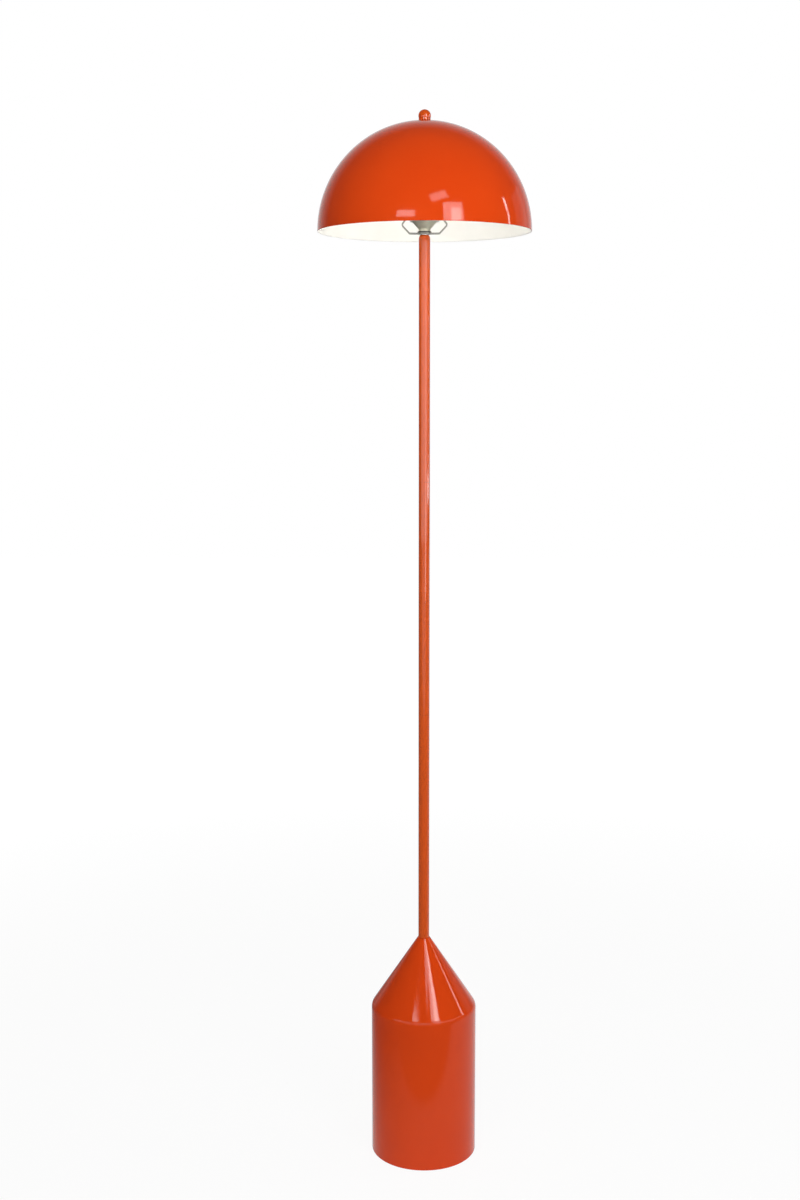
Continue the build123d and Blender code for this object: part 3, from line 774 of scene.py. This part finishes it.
def base_skin():
    """The base's painted skin: a cylinder that runs over a soft shoulder into a cone, hemmed at its foot."""
    foot, tip = bottom_of("base_shell"), top_of("base_shell")
    corner = (base_radius, cone_foot_height)
    cone_tip = (cone_tip_radius, tip)
    slope = (base_radius - cone_tip_radius) / (tip - cone_foot_height)
    across = shell_wall * sqrt(1 + slope**2)
    inner = base_radius - shell_wall
    under = tip - shell_wall
    inner_corner = (inner, tip - (inner - cone_tip_radius + across) / slope)
    skin = Drawing("base_skin", inner, foot + hem_radius)
    skin.arc((base_radius - hem_radius, foot + hem_radius), 180, 6)
    rounded_corner(skin, corner, cone_tip, shoulder_radius, 12)
    rounded_corner(skin, cone_tip, (spigot_hole_radius, tip), 0.5, 3)
    skin.line((spigot_hole_radius, tip), (spigot_hole_radius, under))
    skin.line((cone_tip_radius - across + shell_wall * slope, under))
    rounded_corner(skin, inner_corner, (inner, foot), shoulder_radius - shell_wall, 8)
    skin.close().spin(144)
    shell = skin.done(smooth_below=40)
    low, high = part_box("cable_inlet_bush")
    hole = tool_bar(inlet_hole_radius, 40.0, 110.0)
    lay_towards_back(hole, (low.z + high.z) / 2)
    combine(shell, hole, "DIFFERENCE")
    bpy.ops.object.shade_smooth_by_angle(angle=radians(40))
    put_in_place(shell, "stand", "orange_paint", orange_paint, "base_shell")


def cable_bush():
    """The bush at the back: a domed flange, a waist and a barb, bored smooth for a cable."""
    low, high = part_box("cable_inlet_bush")
    end, face = low.y / MM, high.y / MM
    flange = face - 1.8
    bush = Drawing("cable_bush", 3.4, end)
    bush.line((5.0, end), (6.0, end + 6.0), (5.0, end + 6.4), (5.0, flange))
    bush.line((7.5, flange), (7.5, flange + 0.7))
    bush.arc((6.6, flange + 0.7), 70, 5)
    bush.line((4.6, face - 0.02))
    bush.arc((4.6, face - 1.22), 90, 5)
    bush.close().spin(48)
    piece = bush.done(smooth_below=35)
    lay_towards_back(piece, (low.z + high.z) / 2)
    put_in_place(piece, "stand", "inlet_plastic", inlet_plastic, "cable_inlet_bush")


def floor_pad():
    """The pad under the base, moulded with rings that grip the floor."""
    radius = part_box("foot_pad")[1].x / MM
    top = top_of("foot_pad")
    pad = Drawing("floor_pad", 0, 0.5)
    pad.line((12, 0.5), (12.6, 0))
    for groove in (24, 36, 48, 60):
        pad.line((groove - 1.5, 0), (groove - 1.0, 0.5), (groove + 1.0, 0.5), (groove + 1.5, 0))
    pad.line((radius - 0.5, 0)).arc((radius - 0.5, 0.5), 90, 3)
    pad.line((radius, top), (0, top))
    pad.spin(120)
    put_in_place(pad.done(smooth_below=20), "stand", "pad_rubber", black_pad, "foot_pad")


# ---- pole ----


def pole_tubes():
    """The pole's three tubes, each end just broken so that the joints show as hairlines."""
    for node in ("lower_pole", "middle_pole", "upper_pole"):
        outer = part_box(node)[1].x / MM
        tube = ring_piece(node + "_tube", outer, outer - 1.2, bottom_of(node), top_of(node), 72, 0.2)
        put_in_place(tube, "stand", "orange_paint", tube_paint, node)


def pole_cap():
    """The pole's rounded top end, with the spigot that sits in the tube."""
    bottom, top = bottom_of("pole_top_plug"), top_of("pole_top_plug")
    tube_top = top_of("upper_pole")
    outside, drawn_in, rounding, band = 8.0, 2.0, 5.0, 1.0
    sweep_radius = (rounding**2 + drawn_in**2) / (2 * drawn_in)
    middle = (outside - sweep_radius, tube_top + band)
    cap = Drawing("pole_cap", 5.0, bottom)
    cap.line((6.75, bottom), (6.75, tube_top), (outside - 0.3, tube_top))
    cap.line((outside, tube_top + 0.3), (outside, tube_top + band))
    cap.arc(middle, degrees(atan2(rounding, outside - drawn_in - middle[0])), 10)
    cap.line((5.0, top))
    cap.close().spin(72)
    put_in_place(cap.done(smooth_below=25), "stand", "orange_paint", tube_paint, "pole_top_plug")


def neck_collar():
    """The bright washer between the pole and the saddle."""
    bottom, top = bottom_of("neck_washer"), top_of("neck_washer")
    collar = ring_piece("neck_collar", 6.0, 5.0, bottom, top, 60, 0.25)
    put_in_place(collar, "stand", "nickel", bright_nickel, "neck_washer")


# ---- saddle ----


class BentStock:
    """Wire or strip on the bench: its end is pushed along and spun round bends, in the XZ plane."""

    def __init__(self, name, across, up, radius=None, thickness=None, width=None, steps=20):
        bpy.ops.object.select_all(action="DESELECT")
        if radius:
            bpy.ops.mesh.primitive_circle_add(
                vertices=steps, radius=radius * MM, fill_type="NGON", location=(across * MM, 0, up * MM)
            )
        else:
            bpy.ops.mesh.primitive_plane_add(size=MM, location=(across * MM, 0, up * MM))
        self.piece = new_piece(name)
        bpy.ops.object.transform_apply(location=True, rotation=True, scale=True)
        bpy.ops.object.mode_set(mode="EDIT")
        bpy.ops.mesh.select_all(action="SELECT")
        self.at = (across, up)
        if not radius:
            self.resize(thickness, width)

    def resize(self, across, along):
        """Stretches the end face about its own middle."""
        bpy.ops.transform.resize(
            value=(across, along, 1), center_override=(self.at[0] * MM, 0, self.at[1] * MM)
        )

    def push(self, point):
        step = ((point[0] - self.at[0]) * MM, 0, (point[1] - self.at[1]) * MM)
        bpy.ops.mesh.extrude_region_move(TRANSFORM_OT_translate={"value": step})
        self.at = point

    def bend(self, middle, turn, steps):
        bpy.ops.mesh.spin(
            steps=steps, angle=turn, center=(middle[0] * MM, 0, middle[1] * MM), axis=(0, 1, 0)
        )
        self.at = turned_about(middle, self.at, turn)

    def follow(self, corners, radii, steps):
        """Goes through the corners in turn, rounding each but the last."""
        for number, corner in enumerate(corners[:-1]):
            start, middle, turn = corner_arc(self.at, corner, corners[number + 1], radii[number])
            self.push(start)
            self.bend(middle, turn, steps)
        self.push(corners[-1])


def saddle():
    """The bent strip: two ears, flares that lean in again, and a disc in the middle for the thread."""
    bottom, top = bottom_of("harp_saddle"), top_of("harp_saddle")
    thick, wide, ear, ear_place = 2.0, 10.0, 4.0, 26.0
    flare, lean = 11.8, 8.0
    middle = bottom + thick / 2
    ear_foot = middle + flare + lean + thick / 2
    slope = 0.3
    right = [
        (21.0, middle), (32.0, middle + flare), (ear_place, middle + flare + lean),
        (ear_place, ear_foot - slope),
    ]
    left = [(-x, height) for x, height in reversed(right)]
    strip = BentStock("saddle", -ear_place, top, thickness=thick, width=ear)
    strip.push((-ear_place, ear_foot + slope))
    strip.push(left[0])
    strip.resize(1, wide / ear)
    strip.follow(left[1:] + right, [3.0] * 6, steps=6)
    strip.push((ear_place, ear_foot + slope))
    strip.resize(1, ear / wide)
    strip.push((ear_place, top))
    close_ends(strip.piece)
    tidy_mesh()
    bpy.ops.object.mode_set(mode="OBJECT")
    combine(strip.piece, tool_bar(9.0, bottom, bottom + thick, 72), "UNION")
    combine(strip.piece, tool_bar(5.0, bottom - 1, bottom + thick + 1), "DIFFERENCE")
    back_to_bench(strip.piece)
    leave_bench(strip.piece, broken_edge=0.25)
    put_in_place(strip.piece, "stand", "nickel", plated_strip, "harp_saddle")


def close_ends(piece):
    """Fills any open ends, with all of the piece on the bench."""
    bpy.ops.mesh.select_all(action="SELECT")
    bpy.ops.mesh.remove_doubles(threshold=WELD)
    bpy.ops.mesh.select_all(action="DESELECT")
    bpy.ops.mesh.select_non_manifold(
        extend=False, use_wire=False, use_multi_face=False, use_non_contiguous=False
    )
    bpy.ops.mesh.fill_holes(sides=0)


def hexagon_nut(name, node, width, hole):
    """A nut: a hexagon bar with its corners turned off at both faces, bored."""
    bottom, top = bottom_of(node), top_of(node)
    point_radius = width / sqrt(3)
    bpy.ops.object.select_all(action="DESELECT")
    bpy.ops.mesh.primitive_cylinder_add(
        vertices=6, radius=point_radius * MM, depth=(top - bottom) * MM,
        location=(0, 0, (bottom + top) / 2 * MM), rotation=(0, 0, radians(30)),
    )
    nut = new_piece(name)
    bpy.ops.object.transform_apply(location=True, rotation=True, scale=True)
    chamfer = 0.5
    corner = point_radius + 0.3
    turned = Drawing("corner_cut", 0, bottom).line(
        (width / 2, bottom), (corner, bottom + chamfer), (corner, top - chamfer), (width / 2, top), (0, top)
    )
    turned.spin(72).done()
    combine(nut, turned.piece, "INTERSECT")
    combine(nut, tool_bar(hole, bottom - 1, top + 1), "DIFFERENCE")
    back_to_bench(nut)
    return leave_bench(nut, broken_edge=0.12)


def lock_nut():
    nut = hexagon_nut("lock_nut", "saddle_lock_nut", 17.0, 5.0)
    # The nut's near-black colour is painted shade.
    put_in_place(nut, "stand", "nickel", painted_shade_black, "saddle_lock_nut")


# ---- harp ----

harp_leg = 28.9
harp_bow = 44.0
harp_wire_radius = 1.6


def harp_wire():
    """One wire: a leg, a bow round the bulb, a flat top through the boss, and down the other side."""
    foot, crown = bottom_of("harp_frame"), top_of("harp_frame") - harp_wire_radius
    leg_bend = foot + 30.0
    right = [
        (14.0, crown), (harp_bow, crown - 22.0), (harp_bow, leg_bend + 23.0), (harp_leg, leg_bend),
        (harp_leg, foot),
    ]
    left = [(-x, height) for x, height in reversed(right)]
    half = [14.0, 20.0, 14.0, 14.0]
    wire = BentStock("harp_wire", -harp_leg, foot, radius=harp_wire_radius, steps=24)
    wire.follow(left[1:] + right, list(reversed(half)) + half, steps=10)
    close_ends(wire.piece)
    leave_bench(wire.piece, broken_edge=0.2, smooth_below=40)
    put_in_place(wire.piece, "harp", "nickel", bright_nickel, "harp_frame")


def harp_disc():
    """The disc that the shade sits on, with the boss that the wire passes through."""
    bottom, top = bottom_of("harp_top_disc"), top_of("harp_top_disc")
    hole = 3.0
    disc = Drawing("harp_disc", 0, bottom)
    disc.line((4.5, bottom), (4.5, top - 2.0), (12.0, top - 2.0), (12.0, top), (hole, top))
    disc.line((hole, top - 3.0), (0, top - 3.0))
    disc.spin(72)
    piece = disc.done(broken_edge=0.25)
    put_in_place(piece, "harp", "nickel", bright_nickel, "harp_top_disc")


def seat_ring():
    ring = ring_piece(
        "seat_ring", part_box("shade_seat_washer")[1].x / MM, 3.05,
        bottom_of("shade_seat_washer"), top_of("shade_seat_washer"), 72, 0.4,
    )
    put_in_place(ring, "harp", "clear_rubber", clear_rubber, "shade_seat_washer")


def threaded(name, crest, depth, pitch, bottom, top, steps=36, round_crest=False):
    """A screw thread round the lamp's axis, cut square at both ends."""
    thread = Drawing(name, crest - depth, bottom - pitch)
    if round_crest:
        thread.line(
            (crest - 0.85 * depth, bottom - 0.86 * pitch), (crest - 0.3 * depth, bottom - 0.70 * pitch),
            (crest, bottom - 0.5 * pitch), (crest - 0.3 * depth, bottom - 0.30 * pitch),
            (crest - 0.85 * depth, bottom - 0.14 * pitch), (crest - depth, bottom),
        )
    else:
        thread.line((crest, bottom - 0.55 * pitch), (crest, bottom - 0.45 * pitch), (crest - depth, bottom))
    bpy.ops.object.mode_set(mode="OBJECT")
    turns = int((top - bottom) / pitch) + 3
    apply_modifier(
        thread.piece, "winding", "SCREW", screw_offset=pitch * MM, iterations=turns, steps=steps,
        render_steps=steps, use_merge_vertices=True, merge_threshold=WELD,
    )
    back_to_bench(thread.piece)
    bpy.ops.mesh.remove_doubles(threshold=WELD)
    for height, lower, upper in ((bottom, True, False), (top, False, True)):
        bpy.ops.mesh.select_all(action="SELECT")
        bpy.ops.mesh.bisect(
            plane_co=(0, 0, height * MM), plane_no=(0, 0, 1), use_fill=True, clear_inner=lower,
            clear_outer=upper, threshold=WELD,
        )
    tidy_mesh()
    return thread.piece


def harp_stud():
    """The screw on the harp's top, threaded all the way."""
    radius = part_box("harp_top_stud")[1].x / MM
    stud = threaded("harp_stud", radius, 0.45, 1.0, bottom_of("harp_top_stud"), top_of("harp_top_stud"), 32)
    leave_bench(stud, smooth_below=30)
    put_in_place(stud, "harp", "zinc_steel", zinc_plate, "harp_top_stud")


def sleeves():
    """The two locking sleeves: rolled tube with a narrow seam, belled a little at the top."""
    for side, node in (("left", "left_sleeve"), ("right", "right_sleeve")):
        low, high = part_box(node)
        middle = (low.x + high.x) / 2
        outer = (high.x - low.x) / 2 / MM
        bottom, top = low.z / MM, high.z / MM
        inner = outer - 0.8
        sleeve = Drawing(side + "_locking_sleeve", inner, bottom)
        sleeve.line((outer - 0.35, bottom), (outer - 0.15, bottom + 0.2), (outer - 0.15, top - 1.6))
        sleeve.line((outer, top - 0.8), (outer, top - 0.15), (outer - 0.15, top), (inner + 0.15, top))
        sleeve.line((inner, top - 0.2)).close()
        bpy.ops.mesh.select_all(action="SELECT")
        bpy.ops.mesh.edge_face_add()
        seam = 6.0
        bpy.ops.mesh.spin(steps=60, angle=radians(360 - seam), center=(0, 0, 0), axis=(0, 0, 1))
        bpy.ops.mesh.select_all(action="SELECT")
        bpy.ops.transform.translate(value=(middle, 0, 0))
        piece = leave_bench(sleeve.piece, smooth_below=30)
        put_in_place(piece, node, "nickel", bright_nickel, node)


# ---- shade and finial ----

dome_radius = 150.0
dome_wall = 1.0
dome_hole = 4.0


def shade_dome():
    """The spun shade: half a ball, hemmed round at its rim, painted orange outside and white inside."""
    rim = bottom_of("shade")
    middle = (0, rim)
    inner = dome_radius - dome_wall
    hem = dome_wall / 2
    hole_outside = degrees(atan2(sqrt(dome_radius**2 - dome_hole**2), dome_hole))
    hole_inside = degrees(atan2(sqrt(inner**2 - dome_hole**2), dome_hole))
    rise = degrees(atan2(hem, dome_radius))
    start = (inner * cos(radians(rise)), rim + inner * sin(radians(rise)))
    dome = Drawing("shade_dome", *start)
    hem_middle = ((dome_radius - hem) * cos(radians(rise)), rim + (dome_radius - hem) * sin(radians(rise)))
    dome.arc(hem_middle, 180, 8)
    dome.arc(middle, hole_outside - rise, 60)
    dome.line((dome_hole, rim + sqrt(inner**2 - dome_hole**2)))
    dome.arc(middle, rise - hole_inside, 60)
    dome.seal().spin(180)
    piece = dome.done(smooth_below=40)
    piece.data.materials.append(orange_paint)
    piece.data.materials.append(white_enamel)
    skin = (dome_radius - 0.6 * dome_wall) * MM
    for face in piece.data.polygons:
        x, y, z = face.center
        if sqrt(x**2 + y**2 + (z - rim * MM) ** 2) < skin:
            face.material_index = 1
    put_in_place(piece, "shade", "orange_paint", orange_paint, "shade")


def finial_ball():
    """The ball nut on top: a ball on a short collar, with a fine line where they meet."""
    bottom, top = bottom_of("finial"), top_of("finial")
    ball, collar, pocket = 8.75, 8.25, 4.55
    middle = top - ball
    meet = middle - sqrt(ball**2 - collar**2)
    pocket_top = bottom + 11.0
    knob = Drawing("finial_ball", pocket, bottom)
    knob.line((collar - 0.4, bottom)).arc((collar - 0.4, bottom + 0.4), 90, 4)
    knob.line((collar, meet - 0.35), (collar - 0.25, meet - 0.1), (collar, meet))
    knob.arc((0, middle), 90 + degrees(atan2(middle - meet, collar)), 28)
    knob.line((0, pocket_top), (pocket, pocket_top)).close()
    knob.spin(72)
    put_in_place(knob.done(smooth_below=30), "finial", "orange_paint", tube_paint, "finial")


def finial_disc():
    disc = ring_piece(
        "finial_disc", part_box("finial_washer")[1].x / MM, 3.25,
        bottom_of("finial_washer"), top_of("finial_washer"), 72, 0.2,
    )
    put_in_place(disc, "finial_washer", "orange_paint", orange_paint, "finial_washer")


# ---- lampholder ----

lamp_thread_pitch = 3.63


def lampholder_cup():
    """The metal cup: a neck, a flare, and a straight side with two rolled grooves."""
    bottom, top = bottom_of("holder_cap"), top_of("holder_cap")
    neck, outside, wall = 8.5, 19.0, 0.8
    flare_bottom, side_bottom = bottom + 3.0, bottom + 15.0
    slope = (outside - neck) / (side_bottom - flare_bottom)
    across = wall * sqrt(1 + slope**2)
    inside = outside - wall
    boss = neck - wall
    cup = Drawing("lampholder_cup", 5.0, bottom)
    cup.line((neck - 0.3, bottom)).arc((neck - 0.3, bottom + 0.3), 90, 3)
    cup.line((neck, flare_bottom))
    rounded_corner(cup, (outside, side_bottom), (outside, top), 1.2, 5)
    for groove in (side_bottom + 3.2, side_bottom + 5.2):
        cup.line((outside, groove - 0.8), (outside - 0.3, groove - 0.35))
        cup.line((outside - 0.3, groove + 0.35), (outside, groove + 0.8))
    cup.line((outside, top - 0.3), (outside - 0.3, top), (inside + 0.1, top), (inside, top - 0.2))
    cup.line((inside, flare_bottom + (inside - neck + across) / slope))
    cup.line((boss, flare_bottom + (across - wall) / slope), (boss, bottom + 8.0), (5.0, bottom + 8.0))
    cup.close().spin(96)
    put_in_place(cup.done(smooth_below=28), "stand", "nickel", dull_nickel, "holder_cap")


def lampholder_skirt():
    """The ivory ring round the mouth, fluted for a grip above where it laps the cup."""
    bottom, top = bottom_of("holder_skirt"), top_of("holder_skirt")
    outside, wall, mouth = 20.5, 1.2, 14.2
    inside = outside - wall
    skirt = Drawing("lampholder_skirt", inside, bottom)
    skirt.line((outside - 0.3, bottom), (outside, bottom + 0.3))
    skirt.line((outside, bottom + 8.0), (outside, top - 6.0))
    skirt.line((outside, top - wall)).arc((outside - wall, top - wall), 90, 5)
    skirt.line((mouth, top), (mouth, top - wall), (inside, top - wall)).close()
    skirt.spin(144)
    bpy.ops.mesh.select_all(action="DESELECT")
    piece = skirt.piece
    bpy.ops.object.mode_set(mode="OBJECT")
    low, high = (bottom + 8.0) * MM, (top - 6.0) * MM
    for face in piece.data.polygons:
        x, y, z = face.center
        turn = round(degrees(atan2(y, x)) / 2.5 - 0.5)
        outer_face = hypot(x, y) > (outside - 0.2) * MM
        if low < z < high and outer_face and turn % 4 < 2:
            face.select = True
    bpy.ops.object.mode_set(mode="EDIT")
    bpy.ops.mesh.select_mode(type="FACE")
    bpy.ops.mesh.inset(thickness=0.25 * MM, depth=-0.35 * MM, use_boundary=True)
    bpy.ops.mesh.select_mode(type="VERT")
    put_in_place(skirt.done(smooth_below=30), "stand", "holder_plastic", ivory_plastic, "holder_skirt")


def lampholder_shell():
    """The brass cup that the bulb screws into, rolled with its thread."""
    node = "holder_screw_shell"
    bottom, top = bottom_of(node), top_of(node)
    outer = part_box(node)[1].x / MM
    shell = threaded(
        "lampholder_shell", outer, 0.5, lamp_thread_pitch, bottom + 3.0, top, 60, round_crest=True
    )
    bpy.ops.object.mode_set(mode="OBJECT")
    combine(shell, tool_bar(outer - 0.55, bottom, bottom + 4.0, 72), "UNION")
    bore = threaded(
        "shell_bore", outer - 0.4, 0.5, lamp_thread_pitch, bottom + 3.2, top + 1.0, 60, round_crest=True
    )
    bpy.ops.object.mode_set(mode="OBJECT")
    combine(bore, tool_bar(outer - 1.1, bottom + 0.8, bottom + 4.0, 72), "UNION")
    combine(shell, bore, "DIFFERENCE")
    back_to_bench(shell)
    leave_bench(shell, smooth_below=35)
    put_in_place(shell, "stand", "brass", yellow_brass, node)


# ---- bulb ----


def bulb_globe():
    """The opal globe, open at its neck, which tucks into the cap."""
    cap_top = top_of("bulb_cap")
    top = top_of("bulb_glass")
    ball, neck, fillet, wall = 22.5, 12.4, 15.0, 0.9
    middle = top - ball
    fillet_height = middle - sqrt((ball + fillet) ** 2 - (neck + fillet) ** 2)
    lean = degrees(atan2(middle - fillet_height, neck + fillet))
    globe = Drawing("bulb_globe", neck, cap_top - 7.0)
    globe.line((neck, fillet_height))
    globe.arc((neck + fillet, fillet_height), -lean, 10)
    globe.arc((0, middle), 90 + lean, 28)
    globe.line((0, top - wall))
    globe.arc((0, middle), -90 - lean, 28)
    globe.arc((neck + fillet, fillet_height), lean, 10)
    globe.line((neck - wall, cap_top - 7.0)).close()
    globe.spin(72)
    piece = globe.done(smooth_below=40)
    put_in_place(piece, "bulb", "opal_glass", opal_glass, "bulb_glass")
    piece.visible_shadow = False


def bulb_screw_cap():
    """The cap with its rolled thread, a plain band at the top and a cone down to the black glass."""
    bottom, top = bottom_of("bulb_cap"), top_of("bulb_cap")
    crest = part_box("bulb_cap")[1].x / MM
    thread_bottom, thread_top = bottom + 4.2, top - 5.0
    cap = threaded(
        "bulb_screw_cap", crest, 1.0, lamp_thread_pitch, thread_bottom, thread_top, 60, round_crest=True
    )
    bpy.ops.object.mode_set(mode="OBJECT")
    root, neck, neck_depth = crest - 1.1, 12.5, 7.5
    body = Drawing("cap_body", 0, bottom)
    body.line((9.0, bottom), (root, thread_bottom - 0.3), (root, thread_top + 0.6))
    body.line((root + 0.15, thread_top + 1.2), (root + 0.15, top - 0.6), (root + 0.75, top - 0.2))
    body.line((root + 0.75, top), (crest - 0.5, top))
    body.line((neck, top), (neck, top - neck_depth), (0, top - neck_depth))
    body.spin(72).done()
    combine(cap, body.piece, "UNION")
    back_to_bench(cap)
    leave_bench(cap, smooth_below=35, turn_round=True)
    put_in_place(cap, "bulb", "cap_aluminium", cap_aluminium, "bulb_cap")


def bulb_glow():
    """The bulb's own light, which travels with it."""
    low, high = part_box("bulb_glass")
    data = bpy.data.lights.new("bulb_glow", "POINT")
    data.color = glow_colour
    data.energy = glow_energy
    data.shadow_soft_size = glow_radius
    glow = bpy.data.objects.new("bulb_glow", data)
    bpy.context.scene.collection.objects.link(glow)
    glow.location = (0, 0, high.z - (high.x - low.x) / 2)
    glow.parent = frame["bodies"]["bulb"]
    glow.visible_camera = False
    glow.visible_glossy = False


# ---- the lamp ----

bpy.context.scene.view_settings.view_transform = "Standard"
photograph_camera()
white_backdrop()
pale_floor()
studio_lights()
dress_packed_nodes()
base_skin()
cable_bush()
floor_pad()
pole_tubes()
pole_cap()
neck_collar()
saddle()
lock_nut()
harp_wire()
harp_disc()
seat_ring()
harp_stud()
sleeves()
shade_dome()
finial_disc()
finial_ball()
lampholder_cup()
lampholder_skirt()
lampholder_shell()
bulb_globe()
bulb_screw_cap()
bulb_glow()
